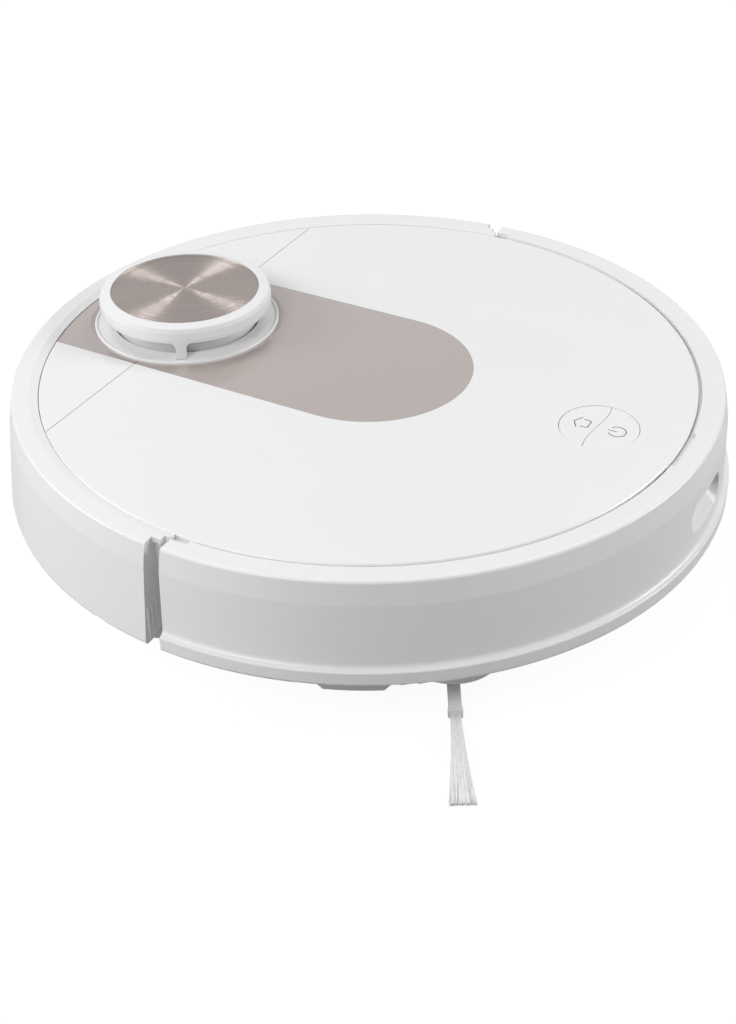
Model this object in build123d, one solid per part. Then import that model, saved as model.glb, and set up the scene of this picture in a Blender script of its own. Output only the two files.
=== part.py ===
from build123d import *
from math import cos, radians, sin, sqrt
import os

os.makedirs("parts", exist_ok=True)

# Round floor-cleaning robot with a laser turret, built as the separate pieces that it comes
# apart into. Millimetres. The origin is on the floor under the middle of the body, +Z is up,
# the robot drives towards -Y, and its own right side is -X.

# ---------------------------------------------------------------- driving dimensions

# clearances
seat_gap = 0.1        # beside a piece that is fixed in its seat
run_play = 0.05       # radial play of a shaft in its bearing
slide_gap = 0.3       # beside a piece that moves past another
loose_gap = 0.8       # round the dust bin in its bay

# body outline
body_r = 175.0        # radius at the foot of the side wall
wall = 2.5            # shells
skirt_z = 28.5        # lower edge of the side wall
crease_r = body_r - 4.3     # side wall's faint crease
crease_z = 67.5
rim_r = body_r - 6.5        # top corner of the side wall
rim_z = 78.2
corner = 1.5          # rounding of that corner
foot_corner = 2.0     # rounding of the side wall's lower edge
floor_z = 10.0        # underside of the chassis above the floor
pan_r = body_r - 27.0       # flat part of the underside
cone_r = body_r - 6.5       # top of the cone between underside and side wall
cone_z = 28.0
flange_t = 2.5        # chassis flange that carries the upper shell
flange_w = 16.5
frame_r = body_r - 13.6     # upper shell's inner wall, behind the bumper

# top
cover_r = body_r - 18.8
cover_z = 77.3
cover_t = 2.8
deck_t = 2.4
land_z = 75.4         # ledge under the bumper's flange
plateau_r = body_r - 14.5   # inner edge of the rear rim's flat top
seam_w = 0.5
accent_r = 50.3       # half width of the accent strip and radius of its front end
accent_t = 1.2

# bumper
lip_z = 36.2          # top of the lip round its foot
waist_r = body_r - 2.7      # wall just above the lip
waist_z = 37.3
waist_round = 2.4     # hollow between wall and lip
lip_round = 0.8
bumper_end_y = 5.0
rear_rim_y = 12.8     # the rear rim starts here
bumper_inner_r = cover_r + 1.6    # the gap round the cover, wider than the bumper's travel
bumper_inner_z = cover_z + 0.2    # the flange's top falls to this at the gap
bumper_flat_r = body_r - 9.0      # from here on inwards
bumper_travel = 1.4
tongue_gap = 3.3      # bumper's end to the rear rim's tongue
notch_x = 14.5        # shallow notch in the flange, at the front
notch_d = 1.2
end_notch_y = -2.5    # notch at each end of the flange
end_notch_r = cover_r + 4.2
tongue_r = frame_r + 2.0    # rear rim's tongue beside the bumper's end
rib_t = 0.6           # ribs on the rear rim's end face
rib_h = 0.5
rib_z = 46.0
window_x = 20.0       # half length of the docking window's mouth
window_z0 = 44.0
window_z1 = 61.5
glass_x = 17.0        # half length of the glass at its bottom
glass_z0 = 50.0
glass_z1 = 60.5
glass_r = crease_r - 4.0
glass_t = 1.8

# buttons
key_r = 18.4
key_y = 38.2 - cover_r
key_split_y = key_y + 1.0
key_split_w = 0.3
key_bow = 1.0         # bow of the dividing line
key_drop = 0.2        # keys lie this far under the cover's face
key_t = 1.6
key_travel = 0.8
key_stem_r = 2.5
home_y = key_y + 8.5
power_y = key_y - 8.5

# laser turret
turret_y = cover_r - 52.2
seam_y = turret_y - 3.0     # straight seam between the two covers
turret_z = 94.4
crown_r = 42.8
crown_z = 86.2        # lower edge of the crown
crown_wall = 3.0
disc_r = 36.7
disc_t = 1.2
skirt_r = 46.2        # sloping skirt under the crown
skirt_lip = 1.6       # width of the raised lip round it
moat_r = 48.4         # shallow slope in the covers round the skirt
moat_d = 0.8
skirt_bore = 36.6
skirt_top = 78.2
post_w = 5.0
post_angles = (90, 210, 330)
rotor_r = 35.4
rotor_z = 89.2
belt_r = 30.0
belt_t = 1.2
belt_w = 1.2
pulley_r = 5.0
pulley_dist = 47.0
lidar_floor = 62.4
lidar_cup_r = 47.0     # cup under the deck
lidar_arm_r = 14.0     # end of the cup round the motor
lidar_wall = 2.0
lidar_boss_h = 7.3    # seat of the bearing, from the cup's floor
lidar_motor_r = 10.0
lidar_motor_h = 11.0
lidar_shaft_r = 1.0
bearing_r = 10.5
bearing_h = 5.0
spigot_r = 7.0
lens_angle = 40.0     # where the head's window points at rest

# drive wheels
well_x1 = frame_r - 28.4    # wheel well
well_x0 = well_x1 - 32.0
well_y0 = -36.0
well_y1 = 66.0
wheel_x = well_x1 - 15.0
wheel_y = 3.0
wheel_r = 34.0
wheel_w = 17.0
tyre_t = 6.0
tread_count = 30
axle_r = 3.0
pivot_y = 54.0
pivot_z = 18.0
pivot_r = 4.0
drive_motor_y = 51.0
drive_motor_z = 38.0
drive_motor_r = 12.0

# caster
caster_y = 22.0 - pan_r
caster_well_r = 20.0
caster_r = 13.0
caster_w = 12.0
caster_trail = 4.0
caster_pin_r = 1.6
fork_r = 18.5
fork_z0 = 6.5
fork_z1 = 27.5
stem_r = 4.0
socket_r = 8.0
socket_z1 = 42.0

# side brushes
side_axis_r = body_r - 33.5
side_axis_angle = 47.3
side_x = side_axis_r * sin(radians(side_axis_angle))
side_y = -side_axis_r * cos(radians(side_axis_angle))
side_recess_r = 22.4
side_roof_z = 16.0
side_hub_r = 7.0
side_arm_r = 30.0
side_arm_w = 5.5
side_arm_t = 2.9
side_root_z = 13.4    # arm's top at the hub
side_tip_z = 7.6      # arm's top at its end
tuft_top = ((side_arm_r, 7.3), (66.0, 2.2), (76.6, 1.9))
tuft_bottom = ((side_arm_r, 5.1), (66.0, 0.7), (76.6, 0.5))
tuft_w0 = 4.4         # width of a tuft at its root
tuft_w1 = 11.6        # and at its end
side_angles = (209.4, 329.4, 89.4)
side_left_turn = 11.5  # the left brush stands turned by this
side_gear_r = 15.5
side_gear_h = 13.0
side_motor_r = 12.0
side_motor_h = 19.0

# main brush
roll_y = -30.0
roll_z = 28.0
roll_r = 25.5
core_r = 18.0
journal_r = 4.0       # ends of the brush's core
journal_l = 6.5       # depth of the drive end in the gearbox
tunnel_r = 30.5
tunnel_x0 = 10.0 - well_x0
tunnel_x1 = well_x0 - 24.0
foot_t = 2.0          # foot of the brush housing on the pan
foot_w = 2.5
bearing_disc_r = 12.0
bearing_disc_t = 3.5
gear_w = 16.0         # gearbox beside the tunnel
gear_y0 = -14.0       # its ends from the brush's axis
gear_y1 = 62.0
gear_z1 = 44.0
brush_motor_y = 49.0  # motor's axis from the brush's axis
brush_motor_r = 13.0
brush_motor_x = 40.0
brush_motor_z = 28.0
fin_count = 6
fin_t = 3.0
guard_drop = 1.2      # guard's underside below the chassis
guard_t = 3.2
guard_edge = 4.0      # its frame beyond the tunnel
guard_open_y = 25.0
guard_bar_w = 2.4
guard_bar_t = 2.2
guard_bar_gap = 1.0   # bar to the brush's core, and to the fins on either side
guard_bars = 4

# dust bin, duct and fan
bin_y0 = 72.0
bin_z0 = 12.8
bin_z1 = 61.4
bin_wall = 1.8
duct_z0 = 22.0
duct_z1 = 46.0
fan_r = 21.0
fan_x = well_x1 - 41.6
fan_y = well_y1 + wall + fan_r + 2.9
bin_x = fan_x - 30.0
duct_x = bin_x / 2 - 0.7
fan_z0 = 17.0
fan_z1 = 43.0
fan_wall = 2.5
fan_gap = 1.0         # impeller to casing
fan_shaft_r = 1.5
fan_motor_r = 13.0
fan_motor_h = 15.0
fan_blades = 9
release_x = 14.0
release_z0 = 47.0
release_z1 = 57.0
grip_z0 = 32.0
grip_z1 = 45.0
release_travel = 2.0
release_depth = 12.0  # of the button's slot and of the finger grip
bin_lid_t = 2.2
port_w = 22.0         # opening between the bin and the fan
port_z0 = 21.0
port_z1 = 36.0
filter_t = 8.0
filter_half = 16.0
pleats = 7
pleat_pitch = 4.2
pleat_w = 2.4

# exhaust slots in the rear rim
vent_count = 8
vent_w = 2.5
vent_z0 = 42.0
vent_z1 = 58.0
vent_angle = 30.0     # of the first slot, from the robot's left
vent_pitch = 2.6

# battery and board
battery_x = side_x - 34.0
battery_y0 = caster_y + 23.8
battery_y1 = roll_y - tunnel_r - 5.3
battery_h = 38.0
door_x = battery_x + 11.0
door_t = 2.4
board_x = 60.0
board_y0 = 23.4 - frame_r
board_y1 = roll_y - tunnel_r - 5.5
board_z = 60.0
board_t = 1.6

# small fixings and sensors
screw_r = 1.5
screw_head_r = 2.8
screw_head_t = 1.4
boss_r = 3.6
shell_screw_r = cone_r - 12.7
shell_screw_angles = (30, 78, 108, 142)
cliff_angles = (18.5, 64.3)
cliff_r0 = pan_r - 14.0
cliff_r1 = pan_r + 7.0
cliff_z0 = 9.0
cliff_z1 = 16.0
cliff_half = 20.0
contact_x = 38.0
contact_y = caster_y + 10.0
contact_l = 20.0
contact_w = 9.0
switch_angle = 45.0   # switches behind the bumper
switch_z0 = 50.0
switch_z1 = 58.0
spring_angle = 25.0   # springs behind the bumper
spring_r = 3.5
spring_z = 44.0

# ---------------------------------------------------------------- derived heights
deck_z1 = cover_z - cover_t
deck_z0 = deck_z1 - deck_t
pan_z1 = floor_z + wall
flange_z1 = cone_z + flange_t


# ---------------------------------------------------------------- shape helpers

def block(x0, x1, y0, y1, z0, z1):
    """Box from its low to its high corner."""
    return Pos((x0 + x1) / 2, (y0 + y1) / 2, (z0 + z1) / 2) * Box(x1 - x0, y1 - y0, z1 - z0)


def disc(r, z0, z1, x=0, y=0):
    """Upright cylinder."""
    return Pos(x, y, (z0 + z1) / 2) * Cylinder(r, z1 - z0)


def ring(r1, r0, z0, z1, x=0, y=0):
    """Upright tube."""
    return disc(r1, z0, z1, x, y) - disc(r0, z0 - 1, z1 + 1, x, y)


def rod(r, x0, x1, y, z):
    """Cylinder along X."""
    return Pos((x0 + x1) / 2, y, z) * Rot(0, 90, 0) * Cylinder(r, x1 - x0)


def turned(points, x=0, y=0):
    """Solid turned about an upright axis from (radius, height) points. A third number
    rounds that corner."""
    outline = make_face(Polyline(*[(p[0], 0, p[1]) for p in points], close=True))
    for p in points:
        if len(p) == 3:
            near = outline.vertices().sort_by_distance((p[0], 0, p[1]))[0]
            outline = fillet(near, p[2])
    return Pos(x, y, 0) * revolve(outline, Axis.Z)


def prism(points, z0, z1):
    """Upright prism on (x, y) points."""
    face = make_face(Polyline(*[(x, y, z0) for x, y in points], close=True))
    return extrude(face, amount=z1 - z0, dir=(0, 0, 1))


def at_angle(shape, angle, r=0, z=0):
    """Shape made on +X, moved out by r and swung about the body's axis. 0 is the front,
    and a positive angle goes towards the robot's right."""
    return Rot(0, 0, -90 - angle) * Pos(r, 0, z) * shape


def stadium(half, r, x, y0, y1, z):
    """Slot-shaped plug along Y: two rounded ends on X."""
    bar = block(x - half + r, x + half - r, y0, y1, z - r, z + r)
    for end in (x - half + r, x + half - r):
        bar += Pos(end, (y0 + y1) / 2, z) * Rot(90, 0, 0) * Cylinder(r, y1 - y0)
    return bar


def mirrored(shape):
    return mirror(shape, about=Plane.YZ)


def envelope(inset=0.0):
    """Outer form of the whole body, drawn in by inset."""
    return turned([
        (0, floor_z + inset),
        (pan_r - inset / 2, floor_z + inset),
        (cone_r - inset, cone_z + inset / 2),
        (body_r - inset, skirt_z + inset / 2),
        (crease_r - inset, crease_z),
        (rim_r - inset, rim_z - inset),
        (0, rim_z - inset),
    ])


# ---------------------------------------------------------------- upper shell and covers

def upper_shell():
    """Deck, inner wall and rear rim in one moulding."""
    deck = disc(frame_r, deck_z0, deck_z1)
    inner = ring(frame_r, frame_r - wall, flange_z1, land_z)
    ledge = ring(frame_r, cover_r + slide_gap, deck_z0, land_z)
    rim = turned([
        (body_r, skirt_z, foot_corner), (crease_r, crease_z), (rim_r, rim_z, corner),
        (plateau_r, rim_z), (cover_r + slide_gap, cover_z), (cover_r + slide_gap, deck_z0),
        (frame_r - wall, deck_z0), (frame_r - wall, skirt_z),
    ])
    rim_hollow = turned([
        (body_r - wall, skirt_z - 1), (crease_r - wall, crease_z),
        (rim_r - wall, rim_z - wall), (frame_r, rim_z - wall), (frame_r, skirt_z - 1),
    ])
    behind = block(-body_r, body_r, rear_rim_y + wall, body_r + 1, 0, 2 * rim_z)
    rear = block(-body_r, body_r, rear_rim_y, body_r + 1, 0, 2 * rim_z)
    rear_rim = (rim & rear) - (rim_hollow & behind)
    tongue = turned([
        (frame_r, deck_z0), (frame_r, rim_z - wall), (tongue_r, rim_z - wall), (tongue_r, rim_z),
        (plateau_r, rim_z), (cover_r + slide_gap, cover_z), (cover_r + slide_gap, deck_z0),
    ])
    nose = tongue & disc(end_notch_r - slide_gap, 0, 2 * rim_z)
    clear_y = bumper_end_y + tongue_gap
    tongue &= block(-body_r, body_r, clear_y, rear_rim_y + 1, 0, 2 * rim_z)
    tongue += nose & block(-body_r, body_r, bumper_end_y + 0.7, rear_rim_y + 1, 0, 2 * rim_z)
    rear_rim -= disc(body_r - wall - seat_gap, 0, flange_z1) & behind
    rear_rim -= disc(cone_r + seat_gap, 0, flange_z1)
    for x in (rim_r - 3.5, rim_r - 0.5, rim_r + 2.5):
        for side in (x, -x):
            rear_rim += block(
                side - rib_t / 2, side + rib_t / 2, rear_rim_y - rib_h, rear_rim_y + 0.1,
                flange_z1 + seat_gap, rib_z)
    shell = deck + inner + ledge + rear_rim + tongue
    for angle in shell_screw_angles:
        for side in (angle, -angle):
            shell += at_angle(disc(boss_r, flange_z1, deck_z1), side, shell_screw_r)
            shell -= at_angle(disc(screw_r + run_play, 0, flange_z1 + 12), side, shell_screw_r)
    for x, y in board_posts():
        shell += disc(boss_r, board_z + board_t, deck_z1, x, y)
    shell -= disc(skirt_bore + 1.5, 0, 2 * rim_z, 0, turret_y)
    for y in (home_y, power_y):
        shell -= disc(key_stem_r + slide_gap, 0, 2 * rim_z, 0, y)
    shell -= block(-bin_x - loose_gap, bin_x + loose_gap, 0, body_r + 1, 0, bin_z1 + loose_gap)
    for k in range(vent_count):
        vent = block(frame_r - 2 * wall, body_r + 1, -vent_w / 2, vent_w / 2, vent_z0, vent_z1)
        shell -= Rot(0, 0, vent_angle + vent_pitch * k) * vent
    return shell


def cover_blank():
    """Both covers and the accent strip before they are parted."""
    blank = turned([
        (0, deck_z1), (cover_r, deck_z1), (cover_r, cover_z - 0.5),
        (cover_r - 0.5, cover_z), (0, cover_z),
    ])
    moat = turned([
        (0, 0), (skirt_r + seat_gap, 0), (skirt_r + seat_gap, cover_z - moat_d),
        (moat_r, cover_z), (moat_r, 2 * rim_z), (0, 2 * rim_z),
    ], 0, turret_y)
    return blank - moat


def strip(grow=0.0):
    """Plan of the accent strip: a straight band to the rear with a round front end."""
    r = accent_r + grow
    z0, z1 = cover_z - accent_t, cover_z + 1
    return disc(r, z0, z1) + block(-r, r, 0, body_r, z0, z1)


def ahead_of_seam():
    return block(-body_r, body_r, -body_r, seam_y - seam_w / 2, 0, 2 * rim_z)


def behind_seam():
    return block(-body_r, body_r, seam_y + seam_w / 2, body_r, 0, 2 * rim_z)


def front_cover():
    cover = (cover_blank() & ahead_of_seam()) - strip(seat_gap)
    return cover - disc(key_r, 0, 2 * rim_z, 0, key_y)


def rear_cover():
    return (cover_blank() & behind_seam()) - strip(seat_gap)


def accent_strip():
    """Front and rear length of the accent strip, parted at the seam."""
    whole = cover_blank() & strip()
    return Compound(children=[whole & ahead_of_seam(), whole & behind_seam()])


# ---------------------------------------------------------------- bumper

def slot_face(half, z0, z1, y):
    """Slot-shaped face across Y."""
    plane = Plane(origin=(0, y, (z0 + z1) / 2), x_dir=(1, 0, 0), z_dir=(0, -1, 0))
    return plane * SlotOverall(2 * half, z1 - z0)


def window_scoop():
    """Mouth of the docking window: it narrows towards the glass and runs on behind it."""
    outer = slot_face(window_x, window_z0, window_z1, -waist_r)
    inner = slot_face(glass_x, glass_z0, glass_z1, -glass_r)
    scoop = loft([outer.face(), inner.face()])
    scoop += extrude(outer, amount=wall + 1, dir=(0, -1, 0))
    return scoop + extrude(inner, amount=glass_r - frame_r, dir=(0, 1, 0))


def bumper():
    """C-shaped front shell: side wall with a lip round its foot, and a top flange whose
    thin inner edge lies a little above the cover."""
    shell = turned([
        (body_r, skirt_z, foot_corner), (body_r, lip_z, lip_round),
        (waist_r, waist_z, waist_round), (crease_r, crease_z), (rim_r, rim_z, corner),
        (bumper_flat_r, rim_z), (bumper_inner_r, bumper_inner_z), (bumper_inner_r, rim_z - wall),
        (rim_r - wall, rim_z - wall),
        (crease_r - wall, crease_z), (waist_r - wall, waist_z + 1),
        (body_r - wall, lip_z - 2 * wall), (body_r - wall, skirt_z),
    ])
    middle, half_h = (window_z0 + window_z1) / 2, (window_z1 - window_z0) / 2
    collar = stadium(window_x + 2, half_h + 2, 0, -body_r - 1, -frame_r, middle)
    shell += collar & ring(crease_r - 0.5, frame_r + bumper_travel + slide_gap, 0, rim_z)
    shell -= window_scoop()
    shell -= block(-notch_x, notch_x, -bumper_inner_r - notch_d, 0, rim_z - 2 * wall, 2 * rim_z)
    shell -= disc(end_notch_r, 0, 2 * rim_z) & block(-body_r, body_r, end_notch_y, body_r, 0, 2 * rim_z)
    return shell & block(-body_r - 1, body_r + 1, -body_r - 1, bumper_end_y, 0, 2 * rim_z)


def dock_window():
    face = slot_face(glass_x - seat_gap, glass_z0 + seat_gap, glass_z1 - seat_gap, -glass_r - 1)
    plug = extrude(face, amount=glass_r - frame_r, dir=(0, 1, 0))
    return plug & ring(glass_r, glass_r - glass_t, 0, rim_z)


# ---------------------------------------------------------------- buttons

def key(rear):
    """Half of the round button: rear is the home key, front is the power key."""
    z1 = cover_z - key_drop
    r = key_r - slide_gap
    face = disc(r, z1 - key_t, z1, 0, key_y)
    gap = key_split_w / 2 if rear else -key_split_w / 2
    line = Spline(
        (-key_r, key_split_y + gap, z1 - key_t - 1),
        (-key_r / 2, key_split_y + gap + key_bow, z1 - key_t - 1),
        (key_r / 2, key_split_y + gap - key_bow, z1 - key_t - 1),
        (key_r, key_split_y + gap, z1 - key_t - 1),
    )
    edge_y = key_y + (2 * key_r if rear else -2 * key_r)
    back = Polyline(line @ 1, (key_r, edge_y, z1 - key_t - 1), (-key_r, edge_y, z1 - key_t - 1), line @ 0)
    half = extrude(make_face([line, back]), amount=key_t + 2, dir=(0, 0, 1))
    stem_y = home_y if rear else power_y
    return (face & half) + disc(key_stem_r, deck_z0 - 0.8, z1 - key_t, 0, stem_y)


# ---------------------------------------------------------------- laser turret

def on_turret(shape, angle):
    """Shape made on +X about the turret's axis, swung to angle."""
    return Pos(0, turret_y, 0) * Rot(0, 0, angle) * shape


def lidar_skirt():
    """Fixed ring on the deck that the turret stands in."""
    lip = skirt_r - skirt_lip
    skirt = turned([
        (skirt_bore, deck_z1), (skirt_bore, skirt_top - 0.5), (skirt_bore + 0.6, skirt_top),
        (lip, cover_z + 0.1), (lip + 0.4, cover_z + 0.5), (skirt_r - 0.4, cover_z + 0.5),
        (skirt_r, cover_z + 0.1), (skirt_r, deck_z1),
    ], 0, turret_y)
    for angle in post_angles:
        w = post_w / 2 + seat_gap
        pocket = block(crown_r - crown_wall - 0.5, crown_r + 0.6, -w, w, deck_z1 + 1, 2 * rim_z)
        skirt -= on_turret(pocket, angle)
    return skirt


def lidar_cage():
    """Crown with its posts, which stand in the skirt's pockets."""
    inner = crown_r - crown_wall
    crown = turned([
        (0, turret_z - 3.4), (inner - 1.4, turret_z - 3.4), (inner - 0.2, turret_z - 4.9),
        (inner, crown_z), (crown_r - 0.2, crown_z), (crown_r, crown_z + 1.8),
        (crown_r - 0.1, turret_z - 2.9), (crown_r - 0.8, turret_z - 1.0),
        (crown_r - 1.2, turret_z - 0.7), (disc_r + 1.0, turret_z), (disc_r + 0.25, turret_z),
        (disc_r + 0.25, turret_z - 1.6), (0, turret_z - 1.6),
    ], 0, turret_y)
    fillet = 3.0
    half = post_w / 2
    band = ring(crown_r - 0.1, inner, 0, 2 * rim_z)
    post = block(inner - 1, crown_r + 1, -half, half, deck_z1 + 1, crown_z + 1)
    web = block(inner - 1, crown_r + 1, -half - fillet, half + fillet, crown_z - fillet, crown_z + 1)
    for side in (-1, 1):
        web -= rod(fillet, inner - 2, crown_r + 2, side * (half + fillet), crown_z - fillet)
    for angle in post_angles:
        crown += on_turret((post + web) & band, angle)
    return crown


def lidar_disc():
    return disc(disc_r, turret_z - 1.6, turret_z - 1.6 + disc_t, 0, turret_y)


def lidar_base():
    """Cup under the deck that carries the rotor's bearing and its motor."""
    motor_y = turret_y - pulley_dist
    thin = lidar_wall

    def plan(r, arm, z0, z1):
        shape = disc(r, z0, z1, 0, turret_y) + disc(arm, z0, z1, 0, motor_y)
        return shape + block(-arm, arm, motor_y, turret_y, z0, z1)

    base = plan(lidar_cup_r, lidar_arm_r, lidar_floor, deck_z0)
    base -= plan(lidar_cup_r - thin, lidar_arm_r - thin, lidar_floor + thin, deck_z1)
    base += disc(bearing_r + 3, lidar_floor, lidar_floor + lidar_boss_h, 0, turret_y)
    base -= disc(bearing_r, lidar_floor + thin, deck_z1, 0, turret_y)
    return base - disc(lidar_shaft_r + 1.5, 0, 2 * rim_z, 0, motor_y)


def lidar_bearing():
    z0 = lidar_floor + lidar_wall
    z1 = z0 + bearing_h
    bearing = ring(bearing_r, spigot_r, z0, z1, 0, turret_y)
    groove = ring(bearing_r - 1, spigot_r + 1, z1 - 0.5, z1 + 1, 0, turret_y)
    return bearing - groove


def lidar_motor():
    motor_y = turret_y - pulley_dist
    can = disc(lidar_motor_r, lidar_floor - lidar_motor_h, lidar_floor, 0, motor_y)
    return can + disc(lidar_shaft_r, lidar_floor, lidar_floor + 8, 0, motor_y)


def belt_level():
    return lidar_floor + 5.0


def lidar_pulley():
    motor_y = turret_y - pulley_dist
    z = belt_level()
    bore = lidar_shaft_r + run_play
    return turned([
        (bore, z - 1.8), (pulley_r + 1, z - 1.8), (pulley_r + 1, z - 1.2), (pulley_r, z - 0.7),
        (pulley_r, z + 0.7), (pulley_r + 1, z + 1.2), (pulley_r + 1, z + 1.8), (bore, z + 1.8),
    ], 0, motor_y)


def lidar_belt():
    """Round-cornered band on the rotor's groove and the motor's pulley."""
    z0 = belt_level() - belt_w / 2
    z1 = z0 + belt_w
    motor_y = turret_y - pulley_dist

    def loop(grow):
        big, small = belt_r + slide_gap + grow, pulley_r + slide_gap + grow
        lean = (big - small) / pulley_dist
        c = sqrt(1 - lean * lean)
        web = prism([
            (big * c, turret_y - big * lean), (small * c, motor_y - small * lean),
            (-small * c, motor_y - small * lean), (-big * c, turret_y - big * lean),
        ], z0, z1)
        return disc(big, z0, z1, 0, turret_y) + disc(small, z0, z1, 0, motor_y) + web

    return loop(belt_t) - loop(0)


def lidar_rotor():
    """Spinning head: belt groove and spigot below, round head above."""
    z = belt_level()
    under = lidar_floor + lidar_boss_h + slide_gap
    head = turned([
        (0, under - bearing_h), (spigot_r - run_play, under - bearing_h),
        (spigot_r - run_play, under), (15, under),
        (15, z - 1.8), (belt_r + 2, z - 1.8), (belt_r + 2, z - 1.2), (belt_r, z - 0.7),
        (belt_r, z + 0.7), (belt_r + 2, z + 1.2), (belt_r + 2, z + 1.8), (rotor_r, z + 3.5),
        (rotor_r, rotor_z - 1), (rotor_r - 1, rotor_z), (0, rotor_z),
    ], 0, turret_y)
    window = block(rotor_r - 4, rotor_r + 1, -17, 17, skirt_top, rotor_z + 1)
    return head - on_turret(window, lens_angle)


def lidar_lenses():
    """Emitter and receiver barrels on the head's flat window."""
    z = (skirt_top + rotor_z) / 2
    pair = rod(4.2, rotor_r - 4, rotor_r - 1.5, -8, z) + rod(3.2, rotor_r - 4, rotor_r - 2, 9, z)
    return on_turret(pair, lens_angle)


# ---------------------------------------------------------------- chassis

def board_posts():
    inset = 6
    return [(x, y) for x in (inset - board_x, board_x - inset) for y in (board_y0 + inset, board_y1 - inset)]


def cliff_pod(angle, grow=0.0):
    """Sensor pod that follows the edge of the underside, with sloping ends."""
    pod = ring(cliff_r1 + grow, cliff_r0 - grow, cliff_z0 - grow, cliff_z1 + grow)
    half = cliff_half + grow
    slope = cliff_z1 - cliff_z0
    outline = Polyline(
        (0, -half + slope, cliff_z0 - grow), (0, half - slope, cliff_z0 - grow),
        (0, half, cliff_z1 + grow), (0, -half, cliff_z1 + grow), close=True,
    )
    bar = extrude(make_face(outline), amount=body_r, dir=(1, 0, 0))
    return Rot(0, 0, -90 - angle) * (pod & bar)


def side_boss():
    """Seat of a side brush and its motor, made for the robot's left."""
    roof = disc(side_recess_r - 0.4, side_roof_z, cone_z, side_x, side_y)
    room = disc(side_recess_r - 0.4 - wall, side_roof_z + wall, flange_z1 + 1, side_x, side_y)
    room &= disc(frame_r - wall - 1.4, 0, rim_z)
    hole = disc(4.5, 0, cone_z, side_x, side_y)
    recess = disc(side_recess_r, 0, side_roof_z, side_x, side_y)
    return roof, room, hole + recess


def wheel_well(grow=0.0, z0=0.0):
    """Space of a wheel well on the robot's left, or its walls' outside when grown."""
    return block(well_x0 - grow, well_x1 + grow, well_y0 - grow, well_y1 + grow, z0, deck_z0 - slide_gap)


def tunnel_room(grow=0.0, z0=0.0):
    """Space of the main brush, or its walls' outside when grown."""
    x0, x1 = tunnel_x0 - grow, tunnel_x1 + grow
    r = tunnel_r + grow
    return rod(r, x0, x1, roll_y, roll_z) + block(x0, x1, roll_y - r, roll_y + r, z0, roll_z)


def guard_plan(grow, z0, z1):
    over = guard_edge + grow
    return block(
        tunnel_x0 - over, tunnel_x1 + over, roll_y - tunnel_r - over, roll_y + tunnel_r + over, z0, z1)


def brush_housing():
    """Cover over the main brush, with a foot on the pan and the duct towards the bin."""
    t = wall
    over = guard_edge + seat_gap + slide_gap + foot_w
    housing = tunnel_room(t, pan_z1) & block(-body_r, body_r, -body_r, body_r, pan_z1, rim_z)
    housing += block(
        tunnel_x0 - over, tunnel_x1 + over, roll_y - tunnel_r - t, roll_y + tunnel_r + over,
        pan_z1, pan_z1 + foot_t)
    housing += block(-duct_x - t, duct_x + t, roll_y, bay_front() - t, duct_z0 - t, duct_z1 + t)
    housing -= tunnel_room()
    housing -= block(-duct_x, duct_x, roll_y, bin_y0, duct_z0, duct_z1)
    return housing - rod(7, tunnel_x1 - 1, tunnel_x1 + t + 1, roll_y, roll_z)


def bay_front():
    """Front of the dust bin's bay, inside its wall."""
    return bin_y0 - loose_gap


def bin_bay():
    """Walls round the dust bin, standing on the pan, with ports to the duct and the fan."""
    t, bay, front = wall, bin_x + loose_gap, bay_front()
    walls = block(-bay - t, bay + t, front - t, body_r, pan_z1, bin_z1 - 3)
    walls &= turned([
        (0, pan_z1), (pan_r - 1.1, pan_z1), (cone_r - flange_w - 0.2, pan_z1 + 4.1),
        (cone_r - flange_w - 0.2, flange_z1 + 0.1), (frame_r - t - slide_gap, flange_z1 + 0.1),
        (frame_r - t - slide_gap, rim_z), (0, rim_z),
    ])
    walls -= block(-bay, bay, front, body_r, 0, rim_z)
    walls -= block(-duct_x, duct_x, front - t - 1, front + 1, duct_z0, duct_z1)
    return walls - block(bay - 1, bay + t + 1, fan_y - port_w / 2, fan_y + port_w / 2, port_z0, port_z1)


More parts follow.
